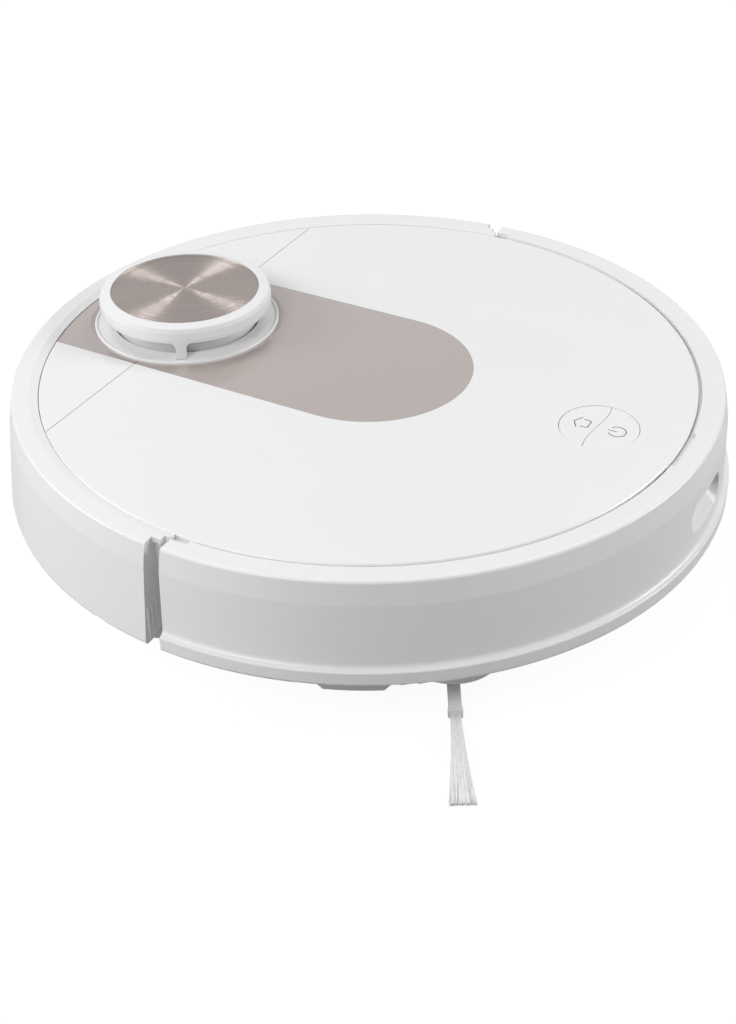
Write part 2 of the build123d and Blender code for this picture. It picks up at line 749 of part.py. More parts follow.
def chassis():
    """Bottom pan with the wells, the battery's box and the bosses."""
    t = wall
    pan = turned([
        (0, floor_z), (pan_r, floor_z), (cone_r, cone_z), (cone_r, flange_z1),
        (cone_r - flange_w, flange_z1), (cone_r - flange_w, cone_z), (cone_r - 3, cone_z),
        (pan_r - 1, pan_z1), (0, pan_z1),
    ])
    rear_flange = ring(body_r - wall - 1, cone_r - 2, cone_z + 0.3, flange_z1)
    pan += rear_flange & block(-body_r, body_r, rear_rim_y + 2 * wall, body_r, 0, rim_z)

    inside = turned([
        (0, floor_z), (pan_r, floor_z), (cone_r, cone_z), (cone_r, flange_z1),
        (frame_r - wall - slide_gap, flange_z1), (frame_r - wall - slide_gap, rim_z), (0, rim_z),
    ])
    walls = wheel_well(t, floor_z) + mirrored(wheel_well(t, floor_z))
    walls += disc(caster_well_r + t, floor_z, fork_z1 + 2 * t, 0, caster_y)
    walls += disc(socket_r + t, fork_z1, socket_z1, 0, caster_y)
    # battery box
    bay_x, box_y1 = battery_x + 0.6, roll_y - tunnel_r - t - seat_gap
    walls += block(-bay_x - t, bay_x + t, battery_y0 - 0.6 - t, box_y1, floor_z, battery_h + floor_z + 3)
    walls += block(-door_x - 2 * t, door_x + 2 * t, battery_y0 - 0.6 - t, box_y1, floor_z, pan_z1 + 8)
    # wall behind the gap between the bumper's end and the rear rim
    for x0, x1 in ((frame_r - 4.4, body_r), (-body_r, 4.4 - frame_r)):
        walls += block(x0, x1, bumper_end_y - t, rear_rim_y + t, floor_z, flange_z1)
    walls += ring(fan_r - 6, fan_r - 6 - t, floor_z, fan_z0, fan_x, fan_y)
    for angle in shell_screw_angles:
        for side in (angle, -angle):
            walls += at_angle(disc(boss_r + 1, floor_z, flange_z1), side, shell_screw_r)
    body = pan + (walls & inside)

    for x0, x1 in ((frame_r + 1.1, body_r), (-body_r, -frame_r - 1.1)):
        body -= block(x0, x1, bumper_end_y, rear_rim_y, 0, rim_z)
    for well in (wheel_well(), mirrored(wheel_well())):
        body -= well
    for x0, x1 in ((well_x0 - 2 * t, well_x0 + 1), (well_x1 - 1, well_x1 + 2 * t)):
        hole = rod(pivot_r, x0, x1, pivot_y, pivot_z)
        body -= hole
        body -= mirrored(hole)
    body -= disc(caster_well_r, 0, fork_z1 + t, 0, caster_y)
    body -= disc(socket_r, 0, rim_z, 0, caster_y)
    body -= block(-bay_x, bay_x, battery_y0 - 0.6, battery_y1 + 0.6, 0, rim_z)
    body -= block(
        -door_x - seat_gap, door_x + seat_gap,
        battery_y0 - 1 - seat_gap, battery_y1 + 1 + seat_gap, 0, floor_z + door_t + 0.05)
    body -= block(-bin_x - loose_gap, bin_x + loose_gap, bay_front(), body_r + 1, bin_z0 - 0.3, rim_z)
    body -= guard_plan(seat_gap + slide_gap, 0, pan_z1)
    for angle in shell_screw_angles:
        for side in (angle, -angle):
            body -= at_angle(disc(screw_r + 0.2, 0, rim_z), side, shell_screw_r)
            body -= at_angle(disc(screw_head_r + 0.4, 0, head_seat()), side, shell_screw_r)
    for x, y in door_screws():
        body -= disc(screw_r + run_play, 0, pan_z1 + 7, x, y)
    left = side_boss()
    for roof, room, cut in (left, [mirrored(piece) for piece in left]):
        body = (body + roof) - room - cut
    for angle in cliff_angles:
        for side in (angle, -angle):
            body -= cliff_pod(side, seat_gap)
    for x in (-contact_x, contact_x):
        body -= contact_plate(x, seat_gap)
    return body


def head_seat():
    """Height that the shell screws' heads pull up against."""
    return cone_z - 4


def door_screws():
    y = (battery_y0 + battery_y1) / 2
    return [(-door_x + 4.5, y), (door_x - 4.5, y)]


def contact_plate(x, grow=0.0):
    """Spring-steel charging pad set in the underside, a little proud."""
    half_l, half_w = contact_l / 2 + grow, contact_w / 2 + grow
    return block(x - half_l, x + half_l, contact_y - half_w, contact_y + half_w, floor_z - 0.4, floor_z + 1)


def screws():
    """All the case screws, each a separate solid."""
    found = []
    for angle in shell_screw_angles:
        for side in (angle, -angle):
            z = head_seat()
            one = disc(screw_head_r, z - screw_head_t, z) + disc(screw_r, z, flange_z1 + 11)
            one -= block(-2, 2, -0.4, 0.4, 0, z - screw_head_t + 0.6)
            found.append(at_angle(one, side, shell_screw_r))
    for x, y in door_screws():
        z = floor_z + door_t - 0.9
        one = disc(screw_head_r, z - screw_head_t, z, x, y) + disc(screw_r, z, pan_z1 + 6, x, y)
        found.append(one - block(x - 2, x + 2, y - 0.4, y + 0.4, 0, z - screw_head_t + 0.6))
    return Compound(children=found)


def battery_door():
    z1 = floor_z + door_t
    door = block(-door_x, door_x, battery_y0 - 1, battery_y1 + 1, floor_z, z1)
    for x, y in door_screws():
        door -= disc(screw_r + 0.2, 0, rim_z, x, y)
        door -= disc(screw_head_r + 0.3, 0, z1 - 0.9, x, y)
    return door


def battery_pack():
    z0 = floor_z + door_t + slide_gap
    pack = block(-battery_x, battery_x, battery_y0, battery_y1, z0, z0 + battery_h)
    return fillet(pack.edges().filter_by(Axis.X), 4)


def main_board():
    """Circuit board with its larger components and the two push switches."""
    z0, z1 = board_z, board_z + board_t
    board = block(-board_x, board_x, board_y0, board_y1, z0, z1)
    for y in (home_y, power_y):
        board += block(-3, 3, y - 3, y + 3, z1, z1 + 6)
        board += disc(1.6, z1, deck_z0 - 0.8 - key_travel - 0.3, 0, y)
    board += block(-38, -20, -96, -78, z1, z1 + 2)
    board += block(14, 40, -94, -84, z1, z1 + 3)
    for x in (-46, -34, 34, 46):
        board += disc(3.5, z1, z1 + 8, x, board_y0 + 16)
    for x in (-52, -30, 12, 34):
        board += block(x, x + 14, board_y1 - 9, board_y1 - 3, z0 - 6, z0)
    return board


# ---------------------------------------------------------------- wheels and suspension

def drive_gearbox():
    """Swing arm with the gear train, its pivot pin and the wheel's spindle, robot's left."""
    x0, x1 = well_x0 + 0.8, well_x0 + 7
    plate = rod(16, x0, x1, wheel_y, wheel_r) + rod(8, x0, x1, pivot_y, pivot_z)
    plate += rod(drive_motor_r + 1, x0, x1, drive_motor_y, drive_motor_z)
    web = make_face(Polyline(
        (x0, wheel_y - 2, wheel_r + 15.8), (x0, drive_motor_y, drive_motor_z + drive_motor_r + 1),
        (x0, drive_motor_y + 11, drive_motor_z - 6), (x0, pivot_y + 7, pivot_z - 3.5),
        (x0, pivot_y, pivot_z - 8), (x0, wheel_y + 2, wheel_r - 15.8), close=True))
    plate += extrude(web, amount=x1 - x0, dir=(1, 0, 0))
    plate += rod(pivot_r - run_play, well_x0 - wall + 0.2, well_x1 + wall - 0.2, pivot_y, pivot_z)
    return plate + rod(axle_r, x1 - 1, wheel_x + wheel_w / 2 - 2, wheel_y, wheel_r)


def drive_motor():
    x0 = well_x0 + 7
    can = rod(drive_motor_r, x0, x0 + 20, drive_motor_y, drive_motor_z)
    return can + rod(4, x0 + 20, x0 + 22.5, drive_motor_y, drive_motor_z)


def wheel_hub():
    """Rim, web with round openings, and the nave that turns on the spindle."""
    x0, x1 = wheel_x - wheel_w / 2, wheel_x + wheel_w / 2
    r = wheel_r - tyre_t - run_play
    hub = rod(r, x0, x1, wheel_y, wheel_r) - rod(r - 3, wheel_x - 2, x1 + 1, wheel_y, wheel_r)
    hub -= rod(r - 3, x0 - 1, wheel_x - 5, wheel_y, wheel_r)
    hub += rod(8, x0, x1, wheel_y, wheel_r)
    for k in range(6):
        a = radians(60 * k + 30)
        hub -= rod(4.5, x0, x1, wheel_y + 16 * cos(a), wheel_r + 16 * sin(a))
    return hub - rod(axle_r + run_play, x0 - 1, wheel_x + wheel_w / 2 - 1.5, wheel_y, wheel_r)


def tyre():
    """Rubber ring with cross grooves."""
    x0, x1 = wheel_x - wheel_w / 2, wheel_x + wheel_w / 2
    band = rod(wheel_r, x0, x1, wheel_y, wheel_r) - rod(wheel_r - tyre_t, x0 - 1, x1 + 1, wheel_y, wheel_r)
    step = 360 / tread_count
    for k in range(tread_count):
        groove = block(x0 - 1, x1 + 1, -1.1, 1.1, wheel_r - 1.6, wheel_r + 1)
        band -= Pos(0, wheel_y, wheel_r) * Rot((k + 0.5) * step, 0, 0) * groove
    return band


def suspension_spring():
    """Coil round the pivot pin with its two legs."""
    x0, x1 = well_x0 + 8, well_x0 + 18
    r = pivot_r + 2.4
    coil = rod(r, x0, x1, pivot_y, pivot_z) - rod(pivot_r + 0.8, x0 - 1, x1 + 1, pivot_y, pivot_z)
    leg_y = well_y1 - 1.0
    rear_leg = disc(0.7, pivot_z - 0.7, pivot_z + 26, x0 + 1, leg_y)
    rear_leg += block(x0 + 0.3, x0 + 1.7, pivot_y + r - 1, leg_y, pivot_z - 0.7, pivot_z + 0.7)
    front_leg = block(x1 - 1.6, x1 - 0.2, pivot_y - 13, pivot_y, pivot_z + r - 1.4, pivot_z + r)
    return coil + rear_leg + front_leg


# ---------------------------------------------------------------- caster

def caster_bush():
    """Plain bush that the caster's stem turns in."""
    z0 = fork_z1 + slide_gap
    return ring(socket_r - run_play, stem_r + run_play, z0, socket_z1 - 0.5, 0, caster_y)


def caster_fork():
    slot_w = caster_w / 2 + 1
    cup = disc(fork_r, fork_z0, fork_z1, 0, caster_y)
    cup -= disc(fork_r - 1.8, 0, fork_z1 - 2, 0, caster_y) & (
        block(-slot_w, slot_w, caster_y - fork_r, caster_y + fork_r, 0, fork_z1))
    wheel_space = rod(caster_r + 1, -slot_w, slot_w, caster_y + caster_trail, caster_r)
    cup -= wheel_space
    cup += disc(stem_r, fork_z1, socket_z1 + 0.3, 0, caster_y)
    cup += disc(stem_r + 1.0, socket_z1 + 0.3, socket_z1 + 2, 0, caster_y)
    return cup - rod(caster_pin_r + run_play / 2, -12, 12, caster_y + caster_trail, caster_r)


def caster_axle():
    return rod(caster_pin_r, -11.5, 11.5, caster_y + caster_trail, caster_r)


def caster_wheel():
    y = caster_y + caster_trail
    half = caster_w / 2
    wheel = rod(caster_r, -half, half, y, caster_r)
    wheel = fillet(wheel.edges().filter_by(GeomType.CIRCLE), 1.5)
    return wheel - rod(caster_pin_r + run_play, -half - 1, half + 1, y, caster_r)


# ---------------------------------------------------------------- side brushes

def side_hub():
    """Hub, drive stub and three short arms, about its own axis."""
    hub = disc(side_hub_r, floor_z + 0.4, side_roof_z - slide_gap)
    hub += disc(4.0, side_roof_z - 1, side_roof_z + wall + 4.5)
    profile = make_face(Polyline(
        (4, 0, side_root_z + 0.2), (8, 0, side_root_z), (side_arm_r, 0, side_tip_z),
        (side_arm_r, 0, side_tip_z - side_arm_t), (8, 0, side_root_z - side_arm_t),
        (4, 0, side_root_z - side_arm_t), close=True))
    arm = extrude(profile, amount=side_arm_w / 2, dir=(0, 1, 0), both=True)
    half_w = side_arm_w / 2 + 0.4
    arm += block(side_arm_r - 3, side_arm_r, -half_w, half_w, side_tip_z - side_arm_t - 0.3, side_tip_z + 0.4)
    for angle in side_angles:
        hub += Rot(0, 0, angle) * arm
    hub -= disc(3.2, 0, floor_z + 2.4)
    return hub - disc(1.25, 0, side_roof_z + 2)


def side_bristles():
    """Three flaring tufts, one on each arm."""
    side = extrude(
        make_face(Polyline(*[(r, 0, z) for r, z in tuft_top + tuft_bottom[::-1]], close=True)),
        amount=10, dir=(0, 1, 0), both=True)
    r0, r1 = tuft_top[0][0], tuft_top[-1][0]
    plan = prism([(r0, -tuft_w0 / 2), (r1, -tuft_w1 / 2), (r1, tuft_w1 / 2), (r0, tuft_w0 / 2)], 0, 10)
    tuft = side & plan
    return Compound(children=[Rot(0, 0, angle) * tuft for angle in side_angles])


def side_screw():
    z = floor_z + 2.4
    return disc(2.8, z - 1.6, z) + disc(1.2, z, side_roof_z + 1.6) - block(-2, 2, -0.4, 0.4, 0, z - 1)


def side_motors():
    """Gearbox on the roof of each boss, with the motor can on top."""
    z0 = side_roof_z + wall
    z1 = z0 + side_gear_h
    box = disc(side_gear_r, z0, z1, side_x, side_y)
    box += disc(side_motor_r, z1, z1 + side_motor_h, side_x, side_y)
    box -= disc(4.0 + run_play, z0 - 1, z0 + 5, side_x, side_y)
    return Compound(children=[box, mirrored(box)])


# ---------------------------------------------------------------- main brush

def main_brush():
    x0, x1 = tunnel_x0 + 4, tunnel_x1 - 3
    core = rod(core_r, x0, x1, roll_y, roll_z)
    core += rod(journal_r, x0 - 3, x1 + 8, roll_y, roll_z)
    return core


def guard_bar_places():
    """Ends of the guard's opening along X, and the middles of its cross bars."""
    x0, x1 = tunnel_x0 + 3, tunnel_x1 - 2
    pitch = (x1 - x0) / (guard_bars + 1)
    return x0, x1, [x0 + pitch * k for k in range(1, guard_bars + 1)]


def brush_fins():
    """Rows of bristle and rubber along the core, notched where the guard's bars cross."""
    x0, x1 = tunnel_x0 + 6, tunnel_x1 - 5
    fin = block(x0, x1, -fin_t / 2, fin_t / 2, core_r - 2, roll_r)
    half = guard_bar_w / 2 + guard_bar_gap
    for x in guard_bar_places()[2]:
        fin -= block(x - half, x + half, -fin_t, fin_t, core_r + guard_bar_gap - slide_gap, roll_r + 1)
    rows = []
    for k in range(fin_count):
        row = Pos(0, roll_y, roll_z) * Rot(360 / fin_count * (k + 0.5), 0, 0) * fin
        rows.append(row - rod(core_r, x0 - 1, x1 + 1, roll_y, roll_z))
    return Compound(children=rows)


def brush_bush():
    """Bush for the main brush's idle end."""
    x0, x1 = tunnel_x0, tunnel_x0 + bearing_disc_t
    hole = rod(journal_r + run_play, x0 - 1, x1 + 1, roll_y, roll_z)
    return rod(bearing_disc_r, x0, x1, roll_y, roll_z) - hole


def brush_motor():
    """Gearbox beside the tunnel, on the housing's foot, and the motor behind it."""
    x0 = tunnel_x1 + wall
    box = block(x0, x0 + gear_w, roll_y + gear_y0, roll_y + gear_y1, pan_z1 + foot_t, gear_z1)
    box += rod(brush_motor_r, brush_motor_x, x0 + 1, roll_y + brush_motor_y, brush_motor_z)
    return box - rod(journal_r + run_play, x0 - 1, x0 + journal_l, roll_y, roll_z)


def brush_guard():
    """Frame round the tunnel's mouth, with bars that cross under the brush's core."""
    z0 = floor_z - guard_drop
    x0, x1, bars = guard_bar_places()
    y0, y1 = roll_y - guard_open_y, roll_y + guard_open_y
    guard = guard_plan(-seat_gap, z0, z0 + guard_t) - block(x0, x1, y0, y1, 0, rim_z)
    bar_z1 = roll_z - core_r - guard_bar_gap
    half = guard_bar_w / 2
    for x in bars:
        guard += block(x - half, x + half, y0 - 3, y1 + 3, bar_z1 - guard_bar_t, bar_z1)
    return guard


# ---------------------------------------------------------------- dust bin and fan

def dust_bin():
    """Open-topped box whose rear wall is part of the body's outline."""
    box = block(-bin_x, bin_x, bin_y0, body_r + 1, bin_z0, bin_z1 - bin_lid_t) & envelope(0.2)
    room = block(bin_wall - bin_x, bin_x - bin_wall, bin_y0 + bin_wall, body_r, bin_z0 + bin_wall, bin_z1)
    box -= room & (disc(pan_r + 2.5, 0, rim_z) + disc(body_r - 15, skirt_z + bin_wall, rim_z))
    box -= block(-duct_x, duct_x, bin_y0 - 1, bin_y0 + 2 * bin_wall, duct_z0, duct_z1)
    box -= block(bin_x - 2 * bin_wall, bin_x + 1, fan_y - port_w / 2, fan_y + port_w / 2, port_z0, port_z1)
    slot = block(
        -release_x - slide_gap, release_x + slide_gap, body_r - release_depth, body_r + 1,
        release_z0 - slide_gap, release_z1 + slide_gap)
    grip = block(-release_x, release_x, body_r - release_depth, body_r + 1, grip_z0, grip_z1)
    return box - slot - fillet(grip.edges().filter_by(Axis.Y), 4)


def bin_lid():
    return block(-bin_x, bin_x, bin_y0, body_r + 1, bin_z1 - bin_lid_t, bin_z1) & envelope(0.2)


def bin_filter():
    """Pleated filter in its frame, against the bin's outlet."""
    x1 = bin_x - bin_wall
    z0, z1 = bin_z0 + bin_wall, fan_z1 - 2
    frame = block(x1 - filter_t, x1, fan_y - filter_half, fan_y + filter_half, z0, z1)
    for k in range(pleats):
        y = fan_y + pleat_pitch * (k - (pleats - 1) / 2)
        frame -= block(
            x1 - filter_t - 1, x1 - filter_t / 2, y - pleat_w / 2, y + pleat_w / 2, z0 + 3, z1 - 3)
    return frame


def bin_release():
    y0 = body_r - release_depth + release_travel + slide_gap
    button = block(-release_x, release_x, y0, body_r + 1, release_z0, release_z1)
    return button & envelope(0.2)


def fan_housing():
    """Scroll casing with its motor on top and the duct to the bin."""
    case = disc(fan_r, fan_z0, fan_z1, fan_x, fan_y)
    case += disc(fan_motor_r, fan_z1, fan_z1 + fan_motor_h, fan_x, fan_y)
    half = port_w / 2 + 2
    case += block(bin_x + loose_gap + wall, fan_x, fan_y - half, fan_y + half, port_z0 - 2, port_z1 + 2)
    case -= disc(fan_r - fan_wall, fan_z0 + 2, fan_z1 - 2, fan_x, fan_y)
    case -= block(bin_x, fan_x, fan_y - port_w / 2, fan_y + port_w / 2, port_z0, port_z1)
    return case - disc(fan_shaft_r + run_play, fan_z1 - 3, fan_z1 + 10, fan_x, fan_y)


def fan_impeller():
    r = fan_r - fan_wall - fan_gap
    z0, z1 = fan_z0 + 3, fan_z1 - 5
    fan = disc(r, z1, z1 + 2, fan_x, fan_y) + disc(5, z0, z1, fan_x, fan_y)
    fan += disc(fan_shaft_r, z1 + 2, fan_z1 + 9, fan_x, fan_y)
    for k in range(fan_blades):
        blade = block(4, r - 0.4, -0.6, 0.6, z0, z1)
        fan += Pos(fan_x, fan_y, 0) * Rot(0, 0, 360 / fan_blades * k) * blade
    return fan


# ---------------------------------------------------------------- sensors

def bumper_switches():
    """Two switches on the inner wall, behind the bumper."""
    body = block(frame_r - 1, frame_r + 5, -6, 6, switch_z0, switch_z1) - disc(frame_r + run_play, 0, rim_z)
    return Compound(children=[at_angle(body, side) for side in (switch_angle, -switch_angle)])


def bumper_springs():
    """Two return springs between the inner wall and the bumper."""
    coil = rod(spring_r, frame_r - 1, waist_r - wall - 1, 0, spring_z)
    coil -= rod(spring_r - 0.9, frame_r - 2, waist_r, 0, spring_z)
    coil -= disc(frame_r + run_play, 0, rim_z)
    return Compound(children=[at_angle(coil, side) for side in (spring_angle, -spring_angle)])


def cliff_sensors():
    pods = []
    for angle in cliff_angles:
        for side in (angle, -angle):
            pod = cliff_pod(side)
            for offset in (-7, 7):
                r = (cliff_r0 + cliff_r1) / 2
                eye = Pos(r, offset, 0) * disc(3.4, 0, cliff_z0 + 1)
                pod -= at_angle(eye, side)
            pods.append(pod)
    return Compound(children=pods)


def charging_contacts():
    return Compound(children=[contact_plate(x) for x in (-contact_x, contact_x)])


# ---------------------------------------------------------------- write the pieces

pieces = {
    "chassis": chassis(),
    "upper_shell": upper_shell(),
    "front_cover": front_cover(),
    "rear_cover": rear_cover(),
    "accent_strip": accent_strip(),
    "lidar_skirt": lidar_skirt(),
    "lidar_cage": lidar_cage(),
    "lidar_disc": lidar_disc(),
    "lidar_base": lidar_base(),
    "lidar_bearing": lidar_bearing(),
    "lidar_motor": lidar_motor(),
    "lidar_belt": lidar_belt(),
    "lidar_rotor": lidar_rotor(),
    "lidar_lenses": lidar_lenses(),
    "lidar_pulley": lidar_pulley(),
    "main_board": main_board(),
    "battery_pack": battery_pack(),
    "battery_door": battery_door(),
    "case_screws": screws(),
    "fan_housing": fan_housing(),
    "fan_impeller": fan_impeller(),
    "brush_motor": brush_motor(),
    "brush_housing": brush_housing(),
    "bin_bay": bin_bay(),
    "main_brush": main_brush(),
    "main_brush_fins": brush_fins(),
    "brush_guard": brush_guard(),
    "bushes": Compound(children=[brush_bush(), caster_bush()]),
    "caster_fork": caster_fork(),
    "caster_axle": caster_axle(),
    "caster_wheel": caster_wheel(),
    "charging_contacts": charging_contacts(),
    "cliff_sensors": cliff_sensors(),
    "bumper_switches": bumper_switches(),
    "bumper_springs": bumper_springs(),
    "side_brush_motors": side_motors(),
    "bumper": bumper(),
    "dock_window": dock_window(),
    "home_button": key(rear=True),
    "power_button": key(rear=False),
    "dust_bin": dust_bin(),
    "bin_lid": bin_lid(),
    "bin_filter": bin_filter(),
    "bin_release": bin_release(),
}
for name, make in {
    "side_brush_hub": side_hub,
    "side_brush_bristles": side_bristles,
    "side_brush_screw": side_screw,
}.items():
    pieces[name + "_right"] = Pos(-side_x, side_y, 0) * make()
    pieces[name + "_left"] = Pos(side_x, side_y, 0) * Rot(0, 0, side_left_turn) * mirrored(make())
for name, make in {
    "drive_gearbox": drive_gearbox,
    "drive_motor": drive_motor,
    "wheel_hub": wheel_hub,
    "tyre": tyre,
    "suspension_spring": suspension_spring,
}.items():
    pieces[name + "_left"] = make()
    pieces[name + "_right"] = mirrored(pieces[name + "_left"])

for name, shape in pieces.items():
    export_step(shape, f"parts/{name}.step")
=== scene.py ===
from math import cos, pi, radians, sin

import bpy
import numpy as np
from mathutils import Matrix, Vector


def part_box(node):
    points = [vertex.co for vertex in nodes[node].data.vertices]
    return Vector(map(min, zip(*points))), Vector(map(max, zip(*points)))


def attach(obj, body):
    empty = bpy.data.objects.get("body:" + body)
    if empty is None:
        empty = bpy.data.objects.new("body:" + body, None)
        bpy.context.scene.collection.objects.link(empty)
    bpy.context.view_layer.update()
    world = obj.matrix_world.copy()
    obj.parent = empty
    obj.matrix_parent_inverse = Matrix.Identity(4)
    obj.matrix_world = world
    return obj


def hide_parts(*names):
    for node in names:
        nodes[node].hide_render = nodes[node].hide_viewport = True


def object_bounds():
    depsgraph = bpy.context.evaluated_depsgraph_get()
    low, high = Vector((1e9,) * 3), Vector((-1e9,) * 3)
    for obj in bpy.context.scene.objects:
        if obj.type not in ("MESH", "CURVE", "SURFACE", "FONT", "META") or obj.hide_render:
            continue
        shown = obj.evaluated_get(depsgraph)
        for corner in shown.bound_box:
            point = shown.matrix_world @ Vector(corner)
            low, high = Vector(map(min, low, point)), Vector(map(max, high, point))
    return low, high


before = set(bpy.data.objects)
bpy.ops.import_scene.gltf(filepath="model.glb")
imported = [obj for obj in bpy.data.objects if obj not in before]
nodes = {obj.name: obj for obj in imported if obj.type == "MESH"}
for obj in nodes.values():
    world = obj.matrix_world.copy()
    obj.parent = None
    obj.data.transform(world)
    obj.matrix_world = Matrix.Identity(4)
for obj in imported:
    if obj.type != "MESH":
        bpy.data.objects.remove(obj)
cad_low, cad_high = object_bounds()
MM = 0.001


# ---------------------------------------------------------------- camera

def place_camera():
    """Looks down on the body from its front right."""
    place = (-0.56557, -0.30776, 0.45465)
    azimuth, elevation, roll = radians(61.54), radians(35.29), radians(-0.51)
    level = Vector((sin(azimuth), cos(azimuth), 0))
    ahead = level * cos(elevation) - Vector((0, 0, sin(elevation)))
    right = Vector((level.y, -level.x, 0))
    up = right.cross(ahead)
    turned_right = right * cos(roll) + up * sin(roll)
    turned_up = up * cos(roll) - right * sin(roll)
    eye = bpy.data.cameras.new("studio_camera")
    eye.lens, eye.sensor_width = 54.48, 36.0
    eye.shift_x, eye.shift_y = -0.0037, -0.0129
    eye.clip_start, eye.clip_end = 0.05, 60
    seat = bpy.data.objects.new("studio_camera", eye)
    axes = Matrix((turned_right, turned_up, -ahead)).transposed().to_4x4()
    seat.matrix_world = Matrix.Translation(place) @ axes
    bpy.context.scene.collection.objects.link(seat)
    bpy.context.scene.camera = seat


place_camera()


# ---------------------------------------------------------------- shader maths

class Wire:
    """An output of a shader node. Arithmetic on it adds Math nodes to its paint."""

    def __init__(self, paint, socket):
        self.paint, self.socket = paint, socket

    def math(self, operation, *values):
        return self.paint.node("ShaderNodeMath", {"operation": operation}, *values)

    def __add__(self, other):
        return self.math("ADD", self, other)

    __radd__ = __add__

    def __sub__(self, other):
        return self.math("SUBTRACT", self, other)

    def __rsub__(self, other):
        return self.math("SUBTRACT", other, self)

    def __mul__(self, other):
        return self.math("MULTIPLY", self, other)

    __rmul__ = __mul__

    def above(self, low, high):
        """0 under low and 1 over high, straight between them."""
        return self.paint.node("ShaderNodeMapRange", {"clamp": True}, self, low, high, 0.0, 1.0)


class Paint:
    """A material in the making, with one Principled shader."""

    def __init__(self, name, **sockets):
        self.material = bpy.data.materials.new(name)
        self.material.use_nodes = True
        self.tree = self.material.node_tree
        self.tree.nodes.clear()
        self.shader = self.tree.nodes.new("ShaderNodeBsdfPrincipled")
        out = self.tree.nodes.new("ShaderNodeOutputMaterial")
        self.tree.links.new(self.shader.outputs["BSDF"], out.inputs["Surface"])
        self.place = self.node("ShaderNodeTexCoord", {}, out="Object")
        self.set(**sockets)

    def plug(self, socket, value):
        if isinstance(value, Wire):
            self.tree.links.new(value.socket, socket)
        elif isinstance(value, tuple) and socket.type == "RGBA" and len(value) == 3:
            socket.default_value = (*value, 1.0)
        else:
            socket.default_value = value

    def set(self, **sockets):
        """Sets inputs of the shader, given with _ for each space."""
        for name, value in sockets.items():
            self.plug(self.shader.inputs[name.replace("_", " ")], value)

    def node(self, kind, settings, *values, out=0, **named):
        """Adds a node: its settings first, then its inputs in order or by name."""
        made = self.tree.nodes.new(kind)
        for name, value in settings.items():
            setattr(made, name, value)
        for socket, value in zip([s for s in made.inputs if s.enabled], values):
            self.plug(socket, value)
        for name, value in named.items():
            self.plug(made.inputs[name.replace("_", " ")], value)
        return Wire(self, made.outputs[out])

    def noise(self, scale, detail=2.0, rough=0.5, at=None):
        """Soft noise, scale in cells per metre."""
        return self.node("ShaderNodeTexNoise", {}, Vector=at or self.place, Scale=scale,
                         Detail=detail, Roughness=rough)

    def mixed(self, share, first, second):
        """Colour between two colours."""
        return self.node("ShaderNodeMix", {"data_type": "RGBA"}, share, first, second, out=2)

    def bumped(self, height, depth):
        """Normal of a surface that height, from 0 to 1, lifts by depth metres."""
        return self.node("ShaderNodeBump", {}, Strength=1.0, Distance=depth, Height=height)

    def vector(self, operation, *values, out=0, **named):
        """Vector Math node."""
        return self.node("ShaderNodeVectorMath", {"operation": operation}, *values, out=out, **named)


def moulded(name, colour, rough, grain, shade=0.025, coat=0.0):
    """Moulded plastic: fine grain of a depth in metres, a faint unevenness of gloss and of colour."""
    grain_size = 0.45 * MM
    paint = Paint(name, Coat_Weight=coat, Coat_Roughness=0.06)
    cloud = paint.noise(22.0, 3.0)
    fine = paint.noise(1 / grain_size, 2.0)
    darker = tuple(c * (1 - shade) for c in colour)
    paint.set(
        Base_Color=paint.mixed(cloud, darker, colour),
        Roughness=rough - 0.03 + 0.06 * cloud + 0.03 * fine,
        Normal=paint.bumped(fine, grain),
    )
    return paint


def finish_of(paint, *names):
    """Gives CAD nodes this paint in each of their material slots."""
    for name in names:
        if not nodes[name].material_slots:
            nodes[name].data.materials.append(paint.material)
        for slot in nodes[name].material_slots:
            slot.material = paint.material


# ---------------------------------------------------------------- paints

white = moulded("white_shell", (0.83, 0.83, 0.835), rough=0.33, grain=2.5e-6)
white_base = moulded("white_base", (0.74, 0.74, 0.75), rough=0.42, grain=1.2e-5)
white_key = moulded("white_key", (0.84, 0.84, 0.845), rough=0.3, grain=2e-6)
rotor_paint = moulded("rotor_grey", (0.74, 0.74, 0.745), rough=0.45, grain=6e-6)
grey_part = moulded("gear_grey", (0.30, 0.31, 0.32), rough=0.45, grain=1e-5)
dark_part = moulded("dark_plastic", (0.022, 0.022, 0.024), rough=0.42, grain=1.2e-5)
core_paint = moulded("brush_core", (0.12, 0.125, 0.14), rough=0.45, grain=1e-5)
window_paint = moulded("dock_window", (0.012, 0.010, 0.012), rough=0.08, grain=4e-7, coat=0.6)
taupe = moulded("accent_taupe", (0.40, 0.345, 0.325), rough=0.20, grain=1e-6, shade=0.02, coat=0.9)
release_paint = moulded("release_grey", (0.33, 0.335, 0.34), rough=0.4, grain=8e-6)
battery_wrap = moulded("battery_wrap", (0.02, 0.05, 0.14), rough=0.3, grain=2e-5)
print_ink = moulded("icon_ink", (0.16, 0.16, 0.165), rough=0.5, grain=2e-6)


